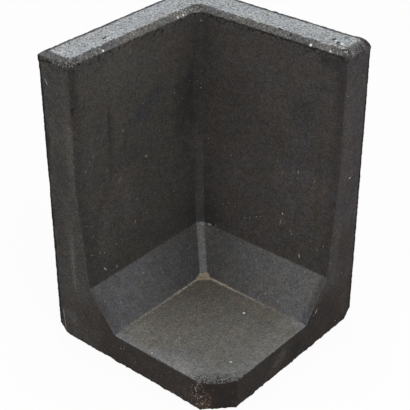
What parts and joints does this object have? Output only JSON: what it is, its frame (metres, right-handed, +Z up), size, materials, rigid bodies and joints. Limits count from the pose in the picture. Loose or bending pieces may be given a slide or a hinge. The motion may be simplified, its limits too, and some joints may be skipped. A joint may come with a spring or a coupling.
{
  "type": "corner l-shaped retaining wall",
  "caption": "Corner retaining wall element in dark cast concrete: two upright walls at a right angle on one footing slab, with sloping haunches and a cut front corner.",
  "frame": {"origin": "middle of the square footprint, on the ground under the footing", "axes": "+Z up; the back wall runs along X with its outer face towards +Y, the side wall runs along Y with its outer face towards +X, and the earth-fill space opens towards -X and -Y"},
  "size_m": [0.41, 0.41, 0.6],
  "materials": {
    "concrete": "matte"
  },
  "bodies": {
    "root": {"corner_wall": "concrete"}
  },
  "joints": []
}
